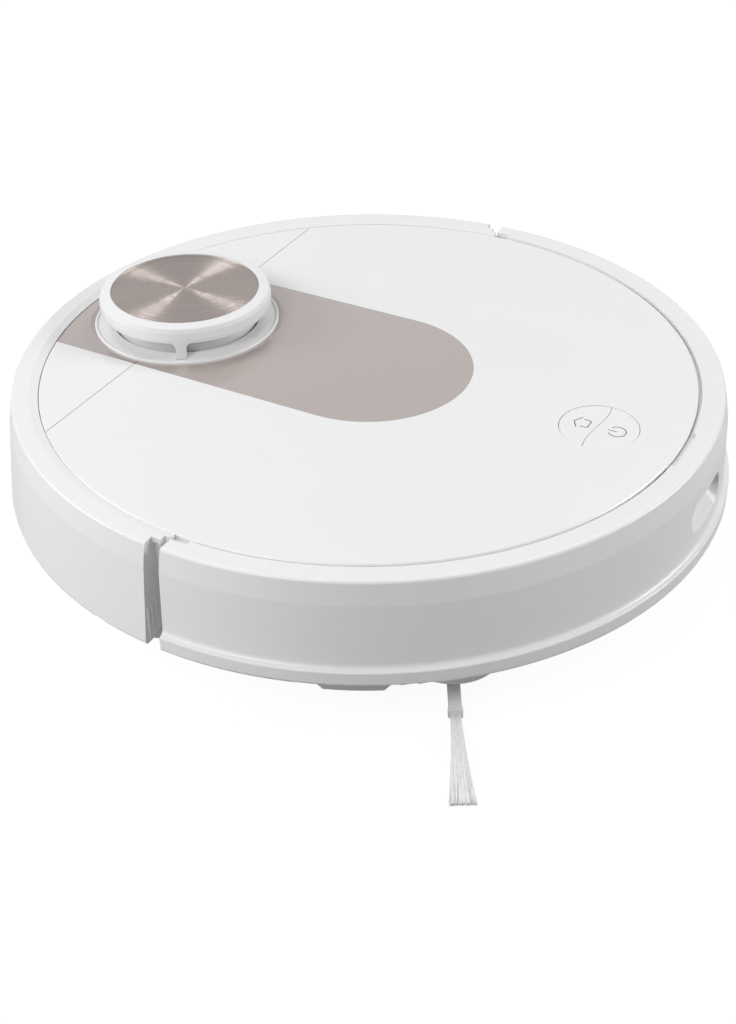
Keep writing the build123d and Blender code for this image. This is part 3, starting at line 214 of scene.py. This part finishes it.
def spun_metal():
    """Lathe-turned disc: hair-fine rings lean the surface in and out along the radius, by chance."""
    rings_per_metre, most_lean = 40000.0, 1.3
    paint = Paint("spun_disc", Metallic=1.0)
    low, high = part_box("lidar_disc")
    at = paint.vector("SUBTRACT", paint.place, tuple((low + high) / 2))
    flat = paint.vector("MULTIPLY", at, (1.0, 1.0, 0.0))
    radius = paint.vector("LENGTH", flat, out="Value")
    ring = paint.node("ShaderNodeMath", {"operation": "FLOOR"}, radius * rings_per_metre)
    chance = paint.node("ShaderNodeTexWhiteNoise", {"noise_dimensions": "1D"}, W=ring)
    band = paint.node("ShaderNodeTexNoise", {"noise_dimensions": "1D"}, W=radius, Scale=900.0,
                      Detail=3.0, Roughness=0.6)
    outward = paint.vector("NORMALIZE", flat)
    lean = paint.vector("SCALE", outward, Scale=(chance - 0.5) * most_lean)
    facing = paint.node("ShaderNodeNewGeometry", {}, out="Normal")
    paint.set(
        Base_Color=paint.mixed(band, (0.300, 0.257, 0.241), (0.350, 0.303, 0.286)),
        Roughness=0.22 + 0.06 * band,
        Normal=paint.vector("NORMALIZE", paint.vector("ADD", facing, lean)),
    )
    return paint


def metal(name, colour, rough, streak=(1, 1, 1)):
    """Bare metal with fine drawn streaks."""
    paint = Paint(name, Metallic=1.0)
    along = paint.node("ShaderNodeMapping", {}, paint.place, Scale=streak)
    marks = paint.noise(2500.0, 3.0, at=along)
    paint.set(
        Base_Color=paint.mixed(marks, tuple(c * 0.85 for c in colour), colour),
        Roughness=rough + 0.15 * marks,
        Normal=paint.bumped(marks, 2e-6),
    )
    return paint


def rubber(name, colour, rough=0.75):
    """Rubber with a dull bloom."""
    paint = Paint(name)
    bloom = paint.noise(60.0, 4.0)
    fine = paint.noise(1800.0, 2.0)
    paint.set(
        Base_Color=paint.mixed(bloom, colour, tuple(c + 0.025 for c in colour)),
        Roughness=rough - 0.1 + 0.2 * bloom,
        Normal=paint.bumped(fine, 3e-5),
    )
    return paint


def strand_paint(name, root, tip):
    """Nylon strands, each a little lighter or darker than the next."""
    paint = Paint(name, Specular_IOR_Level=0.5)
    each = paint.noise(900.0, 1.0)
    paint.set(
        Base_Color=paint.mixed(each.above(0.3, 0.7), root, tip),
        Roughness=0.35 + 0.15 * each,
    )
    return paint


steel = metal("steel", (0.62, 0.62, 0.63), 0.25)
nickel = metal("contact_nickel", (0.72, 0.68, 0.60), 0.2, (1, 8, 1))
can_paint = metal("motor_can", (0.55, 0.55, 0.56), 0.3)
tyre_paint = rubber("tyre_rubber", (0.018, 0.018, 0.019))
belt_paint = rubber("belt_rubber", (0.015, 0.015, 0.015))
blade_paint = rubber("blade_rubber", (0.05, 0.052, 0.058), 0.6)
caster_paint = moulded("caster_black", (0.025, 0.025, 0.027), rough=0.35, grain=8e-6)
bristle_paint = strand_paint("bristle_white", (0.86, 0.86, 0.87), (0.95, 0.95, 0.95))
row_paint = strand_paint("bristle_dark", (0.02, 0.022, 0.03), (0.06, 0.065, 0.08))
disc_paint = spun_metal()


def board_paint():
    """Green solder mask with copper lines under it."""
    paint = Paint("board_green")
    line = paint.node("ShaderNodeTexBrick", {}, Vector=paint.place, Scale=160.0, out="Fac")
    paint.set(
        Base_Color=paint.mixed(line, (0.015, 0.13, 0.06), (0.03, 0.20, 0.10)),
        Roughness=0.3 + 0.1 * line,
        Normal=paint.bumped(line, 3e-5),
    )
    return paint


def filter_paint():
    """Filter paper: fibres and a soft unevenness."""
    paint = Paint("filter_paper")
    fibre = paint.noise(1500.0, 4.0, 0.7)
    paint.set(
        Base_Color=paint.mixed(fibre, (0.62, 0.61, 0.55), (0.80, 0.79, 0.74)),
        Roughness=0.85 + 0.1 * fibre,
        Normal=paint.bumped(fibre, 6e-5),
    )
    return paint


finish_of(white, "upper_shell", "front_cover", "rear_cover", "bumper", "lidar_skirt", "lidar_cage",
          "dust_bin", "bin_lid", "side_brush_hub_right", "side_brush_hub_left")
finish_of(white_base, "chassis", "battery_door", "bin_bay", "cliff_sensors")
finish_of(white_key, "home_button", "power_button")
finish_of(taupe, "accent_strip")
finish_of(disc_paint, "lidar_disc")
finish_of(rotor_paint, "lidar_rotor")
finish_of(window_paint, "dock_window", "lidar_lenses")
finish_of(release_paint, "bin_release")
finish_of(steel, "case_screws", "side_brush_screw_right", "side_brush_screw_left", "caster_axle",
          "lidar_bearing", "bumper_springs", "suspension_spring_right", "suspension_spring_left")
finish_of(nickel, "charging_contacts")
finish_of(can_paint, "lidar_motor", "drive_motor_right", "drive_motor_left")
finish_of(tyre_paint, "tyre_right", "tyre_left")
finish_of(belt_paint, "lidar_belt")
finish_of(caster_paint, "caster_fork", "caster_wheel", "brush_guard")
finish_of(core_paint, "main_brush")
finish_of(blade_paint, "main_brush_fins")
finish_of(bristle_paint, "side_brush_bristles_right", "side_brush_bristles_left")
finish_of(grey_part, "lidar_base", "lidar_pulley", "fan_housing", "brush_motor", "brush_housing",
          "bushes", "side_brush_motors", "drive_gearbox_right", "drive_gearbox_left",
          "wheel_hub_right", "wheel_hub_left")
finish_of(dark_part, "bumper_switches", "fan_impeller")
finish_of(battery_wrap, "battery_pack")
finish_of(board_paint(), "main_board")
finish_of(filter_paint(), "bin_filter")


# ---------------------------------------------------------------- meshes

def solid(name, points, faces, paint, body, slot, smooth=True):
    """New piece from points in metres and faces given as lists of point numbers."""
    mesh = bpy.data.meshes.new(name)
    mesh.from_pydata(np.asarray(points, float).tolist(), [], [list(map(int, f)) for f in faces])
    mesh.validate()
    if smooth:
        mesh.shade_smooth()
    piece = bpy.data.objects.new(name, mesh)
    bpy.context.scene.collection.objects.link(piece)
    mesh.materials.append(paint.material)
    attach(piece, body)
    return piece


def grid_faces(rows, around):
    """Faces between neighbouring rows of a grid, where each row is a closed ring."""
    i, j = np.meshgrid(np.arange(rows - 1), np.arange(around), indexing="ij")
    k = (j + 1) % around
    quads = np.stack([i * around + j, i * around + k, (i + 1) * around + k, (i + 1) * around + j], -1)
    return quads.reshape(-1, 4).tolist()


def capped(rows, around):
    """Faces of a grid of rings with a lid on its first and on its last ring."""
    last = (rows - 1) * around
    lids = [list(range(around))[::-1], list(range(last, last + around))]
    return grid_faces(rows, around) + lids


def bundle(paths, radii, sides, across):
    """Points and faces of many thin rods at once. paths is (rods, steps, 3), radii is (steps,), and
    across holds two unit vectors square to the rods: point = path + radius * (cos a * u + sin a * v)."""
    rods, steps = paths.shape[:2]
    a = np.arange(sides) * 2 * pi / sides
    u, v = (np.asarray(w, float) for w in across)
    ring = np.cos(a)[:, None] * u + np.sin(a)[:, None] * v
    points = paths[:, :, None, :] + radii[None, :, None, None] * ring[None, None]
    size, one = steps * sides, capped(steps, sides)
    faces = [[p + rod * size for p in face] for rod in range(rods) for face in one]
    return points.reshape(-1, 3), faces


def tube(path, radius, sides):
    """Points and faces of a rod of even thickness along any path of points (steps, 3): at each step
    the circle is square to the path, turned as little as possible from the step before."""
    path = np.asarray(path, float)
    along = np.gradient(path, axis=0)
    along /= np.linalg.norm(along, axis=1)[:, None]
    side = np.cross(along[0], [0.3, 0.5, 0.8])
    square = []
    for t in along:
        side = side - t * (side @ t)
        side /= np.linalg.norm(side)
        square.append(side)
    u = np.array(square)
    v = np.cross(along, u)
    a = np.arange(sides) * 2 * pi / sides
    ring = np.cos(a)[None, :, None] * u[:, None] + np.sin(a)[None, :, None] * v[:, None]
    return (path[:, None] + radius * ring).reshape(-1, 3), capped(len(path), sides)


def joined(*parts):
    """Several (points, faces) as one."""
    points, faces, count = [], [], 0
    for p, f in parts:
        points.append(p)
        faces += [[k + count for k in face] for face in f]
        count += len(p)
    return np.concatenate(points), faces


# ---------------------------------------------------------------- side brushes (mm and degrees)

arm_angles = (209.4, 329.4, 89.4)    # of the right brush's arms
left_turn = 11.5                     # how far the left brush stands turned
tuft_root_r, tuft_tip_r = 29.0, 76.4
tuft_strands, tuft_steps = 260, 9
strand_r = (0.25, 0.20)              # at the root and at the tip


def tuft(angle, hub, mirror, seed):
    """One flaring tuft. A strand runs outward from the arm's socket, at a share s of the way; it stands
    sideways by place * (2.0 + 3.5 s ** 1.4) mm, and its height falls along two straight runs. Towards
    the tip the strands lean a little to one another in loose clumps."""
    draw = np.random.default_rng(seed)
    s = np.linspace(0, 1, tuft_steps)
    place = draw.uniform(-1, 1, tuft_strands)
    clump = np.sin(place * 11.0 + draw.uniform(0, 6)) * 0.045
    spread = place[:, None] + (clump[:, None] + draw.normal(0, 0.03, (tuft_strands, 1))) * s[None] ** 2
    sideways = spread * (2.0 + 3.5 * s[None] ** 1.4)
    length = tuft_tip_r - draw.uniform(0, 0.8, tuft_strands)[:, None] - tuft_root_r
    reach = tuft_root_r + length * s[None]
    level = np.interp(reach, [30, 66, 76.6], [6.2, 1.55, 1.3])
    height = level + draw.uniform(-1, 1, tuft_strands)[:, None] * (0.95 - 0.25 * s[None])
    along, aside = cos(radians(angle)), sin(radians(angle))
    x, y = reach * along - sideways * aside, reach * aside + sideways * along
    paths = np.stack([x * mirror + hub[0], y + hub[1], height], -1) * MM
    radii = np.linspace(*strand_r, tuft_steps) * MM
    out, up = (-aside * mirror, along, 0), (0, 0, 1)
    return bundle(paths, radii, 5, (out, up) if mirror > 0 else (up, out))


def side_bristles(side, mirror, turn, seed):
    """Three tufts. The left brush mirrors the right one and stands turned by an angle."""
    low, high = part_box("side_brush_screw_" + side)
    hub = ((low + high) / 2 / MM)[:2]
    tufts = [tuft(angle - turn, hub, mirror, seed + k) for k, angle in enumerate(arm_angles)]
    piece = solid("side_bristles_" + side, *joined(*tufts), bristle_paint,
                  "side_brush_" + side, "bristle_white")
    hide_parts("side_brush_bristles_" + side)


side_bristles("right", 1, 0.0, 11)
side_bristles("left", -1, left_turn, 21)


# ---------------------------------------------------------------- main brush (mm and degrees)

sweeping_row_count = 6
bunch_pitch, bunch_strands = 2.4, 12
row_strand_r = 0.13
guard_fields = 5         # openings between the guard's bars
guard_margin = 3.0       # the guard's opening is this much longer than the rows at each end
bar_room = 2.2           # from a bar's middle to the rows on each side


def round_roll(points, turn, axis):
    """Points (..., 3) given as X, sideways and radius from the roll's axis, turned about that axis."""
    a = radians(turn)
    x, u, r = points[..., 0], points[..., 1], points[..., 2]
    return np.stack([x, axis[1] + u * cos(a) - r * sin(a), axis[2] + u * sin(a) + r * cos(a)], -1)


def bristle_row(x0, x1, root, tip, turn, axis, seed):
    """Bunches of strands side by side; a strand leaves its bunch's middle and leans by share ** 1.5."""
    draw = np.random.default_rng(seed)
    bunches = np.arange(x0 + bunch_pitch / 2, x1 - bunch_pitch / 4, bunch_pitch)
    middle = np.repeat(bunches, bunch_strands)
    lean = draw.normal(0, 1, (2, len(middle)))
    s = np.linspace(0, 1, 4)
    x = middle[:, None] + lean[0][:, None] * (0.3 + 0.5 * s[None] ** 1.5)
    u = lean[1][:, None] * (0.25 + 0.35 * s[None] ** 1.5)
    r = root + (tip - draw.uniform(0, 0.5, len(middle))[:, None] - root) * s[None]
    paths = round_roll(np.stack([x, u, r + 0 * x], -1), turn, axis)
    across = ((1, 0, 0), (0, cos(radians(turn)), sin(radians(turn))))
    return bundle(paths * MM, np.full(4, row_strand_r) * MM, 4, across)


def blade(x0, x1, root, tip, turn, axis):
    """Rubber blade whose section goes up one side, over a rounded tip and down the other side."""
    edge = 0.55
    a = np.linspace(0, pi, 7)
    side = np.r_[1.5, 1.2, 0.65, edge * np.cos(a), -0.65, -1.2, -1.5]
    high = np.r_[root, root + 0.9, root + 2.2, tip - edge + edge * np.sin(a),
                 root + 2.2, root + 0.9, root]
    x, u = np.meshgrid([x0, x1], side, indexing="ij")
    section = np.stack([x, u, high + 0 * x], -1)
    return round_roll(section, turn, axis).reshape(-1, 3) * MM, capped(2, len(side))


def sweeping_rows():
    """Bristle rows and rubber blades by turns, parted where the guard's bars cross."""
    low, high = (np.array(v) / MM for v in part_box("main_brush_fins"))
    core_low, core_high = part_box("main_brush")
    axis = (low + high) / 2
    tip = (high[1] - low[1]) / 2
    core_r = (core_high.z - core_low.z) / 2 / MM
    opening = high[0] - low[0] + 2 * guard_margin
    bars = low[0] - guard_margin + opening * np.arange(1, guard_fields) / guard_fields
    starts, ends = np.r_[low[0], bars + bar_room], np.r_[bars - bar_room, high[0]]
    strands, rubber_rows = [], []
    for k in range(sweeping_row_count):
        turn = 360 / sweeping_row_count * (k + 0.5)
        for x0, x1 in zip(starts, ends):
            if k % 2:
                strands.append(bristle_row(x0, x1, core_r - 0.5, tip, turn, axis, 40 + k))
            else:
                rubber_rows.append(blade(x0, x1, core_r - 0.4, tip - 0.3, turn, axis))
    rows = solid("brush_bristle_rows", *joined(*strands), row_paint, "main_brush", "brush_fin")
    blades = solid("brush_rubber_blades", *joined(*rubber_rows), blade_paint, "main_brush", "brush_fin")
    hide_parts("main_brush_fins")
    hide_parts("main_brush_fins")


sweeping_rows()


# ---------------------------------------------------------------- key icons (mm and degrees)

def stroke(path, width, z0, z1):
    """Flat raised line: the path set off by half its width to each side, mitred at its corners."""
    path = np.asarray(path, float)
    ahead = np.vstack([path[1:] - path[:-1], path[-1] - path[-2]])
    behind = np.vstack([path[1] - path[0], path[1:] - path[:-1]])
    ahead /= np.linalg.norm(ahead, axis=1)[:, None]
    behind /= np.linalg.norm(behind, axis=1)[:, None]
    square = np.stack([-(ahead + behind)[:, 1], (ahead + behind)[:, 0]], 1)
    length = np.linalg.norm(square, axis=1)[:, None]
    square = square / length * (2 / length) * width / 2
    left, right = path + square, path - square
    n = len(path)
    rings = np.stack([
        np.c_[left, np.full(n, z1)], np.c_[right, np.full(n, z1)],
        np.c_[right, np.full(n, z0)], np.c_[left, np.full(n, z0)]], 1)
    return rings.reshape(-1, 3) * MM, capped(n, 4)


def arc(cx, cy, r, a0, a1, steps):
    """Points on a circle: middle + r * (cos a, sin a)."""
    a = np.radians(np.linspace(a0, a1, steps))
    return np.c_[cx + r * np.cos(a), cy + r * np.sin(a)]


def icons():
    """A house on the home key, and a ring with a bar on the power key."""
    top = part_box("home_button")[1].z / MM
    z0, z1, line_w = top - 0.05, top + 0.03, 0.55
    roof = np.vstack([[-4.3, -108.35], [-0.5, -106.2], arc(0, -106.45, 0.45, 120, 60, 4),
                      [0.5, -106.2], [4.3, -108.35]])
    walls = np.vstack([[-3.1, -109.5], [-2.95, -112.4], arc(-2.2, -112.55, 0.75, 180, 270, 5),
                       arc(2.2, -112.55, 0.75, 270, 360, 5), [2.95, -112.4], [3.1, -109.5]])
    ring_y, ring_r, half_gap = -126.6, 4.0, 36
    ring = arc(0, ring_y, ring_r, 90 + half_gap, 450 - half_gap, 40)
    bar = [[0, ring_y + 4.2], [0, ring_y + 0.2]]
    home = joined(stroke(roof, line_w, z0, z1), stroke(walls, line_w, z0, z1))
    power = joined(stroke(ring, line_w, z0, z1), stroke(bar, line_w, z0, z1))
    solid("home_icon", *home, print_ink, "home_button", "black_plastic", smooth=False)
    solid("power_icon", *power, print_ink, "power_button", "black_plastic", smooth=False)


icons()


# ---------------------------------------------------------------- cliff sensor eyes (mm and degrees)

pod_r = 144.5                        # from the body's middle to the pods
pod_angles = (18.5, 64.3, -18.5, -64.3)
eye_r, eye_offset = 3.1, 7.0
eye_top, eye_bottom = 1.05, 0.35     # above the pods' underside


def cliff_eyes():
    """Two dark discs in the recesses of each pod."""
    pod_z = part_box("cliff_sensors")[0].z / MM
    levels = pod_z + np.linspace(eye_top, eye_bottom, 3)
    eyes = []
    for angle in pod_angles:
        a = radians(-90 - angle)
        for aside in (-eye_offset, eye_offset):
            x = pod_r * cos(a) - aside * sin(a)
            y = pod_r * sin(a) + aside * cos(a)
            eyes.append(tube(np.array([[x, y, z] for z in levels]) * MM, eye_r * MM, 28))
    solid("cliff_eyes", *joined(*eyes), window_paint, "body", "window_black", smooth=False)


cliff_eyes()


# ---------------------------------------------------------------- springs (mm and degrees)

def coil(radius, wire, turns, length):
    """Helix along +X: angle runs evenly, and the pitch closes up over the last turn at each end."""
    closed_turns = 0.8
    a = np.linspace(0, 2 * pi * turns, int(turns * 18) + 1)
    share = a / a[-1]
    closed_share, closed_length = closed_turns / turns, closed_turns * 2.1 * wire
    run = np.interp(share, [0, closed_share, 1 - closed_share, 1],
                    [0, closed_length, length - closed_length, length])
    return np.c_[run, radius * np.cos(a), radius * np.sin(a)]


def bumper_coils():
    """Two compression springs, each along a radius of the body, at an angle from the front."""
    spring_angle, start_r = 25, 161.8
    radius, wire, turns, length = 2.9, 0.35, 5.0, 7.5
    low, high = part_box("bumper_springs")
    z = (low.z + high.z) / 2 / MM
    parts = []
    for side in (spring_angle, -spring_angle):
        a = radians(-90 - side)
        out, aside, up = coil(radius, wire, turns, length).T
        out = out + start_r
        path = np.c_[out * cos(a) - aside * sin(a), out * sin(a) + aside * cos(a), up + z]
        parts.append(tube(path * MM, wire * MM, 8))
    piece = solid("bumper_coils", *joined(*parts), steel, "body", "steel")
    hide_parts("bumper_springs")


def suspension_coil(side, sign):
    """Torsion spring round the arm's pin, with one leg up the well and one along the arm."""
    pin_y, pin_z = 54.0, 18.0
    low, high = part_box("suspension_spring_" + side)
    x0 = min(abs(low.x), abs(high.x)) / MM + 0.8
    leg_up = np.array([[x0, pin_y + 11.0, 43.5], [x0, pin_y + 11.0, 22.0], [x0, pin_y + 9.5, 18.6]])
    winding = coil(6.0, 0.7, 5.0, 8.4) + [x0, pin_y, pin_z]
    x1 = winding[-1, 0]
    leg_along = np.array([[x1, pin_y + 1.0, 24.0], [x1, pin_y - 6, 23.7], [x1, pin_y - 12.6, 23.4]])
    path = np.vstack([leg_up, winding, leg_along]) * [sign, 1, 1]
    piece = solid("suspension_coil_" + side, *tube(path * MM, 0.65 * MM, 8), steel,
                  "suspension_" + side, "steel")
    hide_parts("suspension_spring_" + side)


bumper_coils()
suspension_coil("right", -1)
suspension_coil("left", 1)


# ---------------------------------------------------------------- floor and light

def soft_box(name, direction, distance, size, power):
    """Oblong lamp that faces the middle of the object from a direction."""
    lamp = bpy.data.lights.new(name, "AREA")
    lamp.shape, lamp.size, lamp.size_y = "RECTANGLE", *size
    lamp.energy = power
    stand = bpy.data.objects.new(name, lamp)
    middle = (cad_low + cad_high) / 2
    way = Vector(direction).normalized()
    stand.location = middle + way * distance
    stand.rotation_mode = "QUATERNION"
    stand.rotation_quaternion = way.to_track_quat("Z", "Y")
    bpy.context.scene.collection.objects.link(stand)


def wired(tree, kind, *outputs):
    """Adds a node whose first inputs take these outputs."""
    made = tree.nodes.new(kind)
    for socket, output in zip(made.inputs, outputs):
        tree.links.new(output, socket)
    return made


def sky():
    """White where the eye, a mirror or glass looks at it, and a faint grey light on dull surfaces."""
    world = bpy.data.worlds.new("studio")
    bpy.context.scene.world = world
    world.use_nodes = True
    tree = world.node_tree
    tree.nodes.clear()
    rays = wired(tree, "ShaderNodeLightPath").outputs
    shiny = wired(tree, "ShaderNodeMath", rays["Is Glossy Ray"], rays["Is Transmission Ray"])
    seen = wired(tree, "ShaderNodeMath", rays["Is Camera Ray"], shiny.outputs[0])
    shiny.operation = seen.operation = "MAXIMUM"
    level = wired(tree, "ShaderNodeMapRange", seen.outputs[0])
    level.inputs["To Min"].default_value = 0.2
    light = wired(tree, "ShaderNodeBackground")
    light.inputs["Color"].default_value = (1.0, 1.0, 1.0, 1.0)
    tree.links.new(level.outputs[0], light.inputs["Strength"])
    wired(tree, "ShaderNodeOutputWorld", light.outputs[0])


def floor_paint():
    """Matt grey that mostly glows white for the eye alone, so that the floor looks pale everywhere."""
    floor = bpy.data.materials.new("studio_floor")
    floor.use_nodes = True
    tree = floor.node_tree
    tree.nodes.clear()
    rays = wired(tree, "ShaderNodeLightPath").outputs
    share = wired(tree, "ShaderNodeMath", rays["Is Camera Ray"])
    share.operation = "MULTIPLY"
    share.inputs[1].default_value = 0.82
    matt = wired(tree, "ShaderNodeBsdfDiffuse")
    matt.inputs["Color"].default_value = (0.50, 0.50, 0.50, 1.0)
    glow = wired(tree, "ShaderNodeEmission")
    glow.inputs["Strength"].default_value = 1.15
    mix = wired(tree, "ShaderNodeMixShader", share.outputs[0], matt.outputs[0], glow.outputs[0])
    wired(tree, "ShaderNodeOutputMaterial", mix.outputs[0])
    return floor


def studio():
    """The floor, three soft boxes round the object, and two small lamps for the disc's bright wedges."""
    half = 8.0
    mesh = bpy.data.meshes.new("studio_floor")
    corners = [(-half, -half, 0), (half, -half, 0), (half, half, 0), (-half, half, 0)]
    mesh.from_pydata(corners, [], [(0, 1, 2, 3)])
    mesh.materials.append(floor_paint())
    ground = bpy.data.objects.new("studio_floor", mesh)
    bpy.context.scene.collection.objects.link(ground)
    soft_box("soft_box_rear", (-0.45, 0.78, 0.42), 1.6, (0.7, 0.6), 9.8)
    soft_box("soft_box_front", (0.453, -0.785, 0.42), 1.6, (0.6, 0.5), 12.8)
    soft_box("soft_box_near", (-0.75, 0.10, 0.65), 1.3, (0.6, 0.5), 6.2)
    soft_box("glint_rear", (0.105, 0.594, 0.80), 1.6, (0.30, 0.30), 3.9)
    soft_box("glint_left", (0.625, -0.02, 0.781), 1.6, (0.30, 0.30), 3.4)
    bpy.context.scene.view_settings.view_transform = "Standard"


sky()
studio()
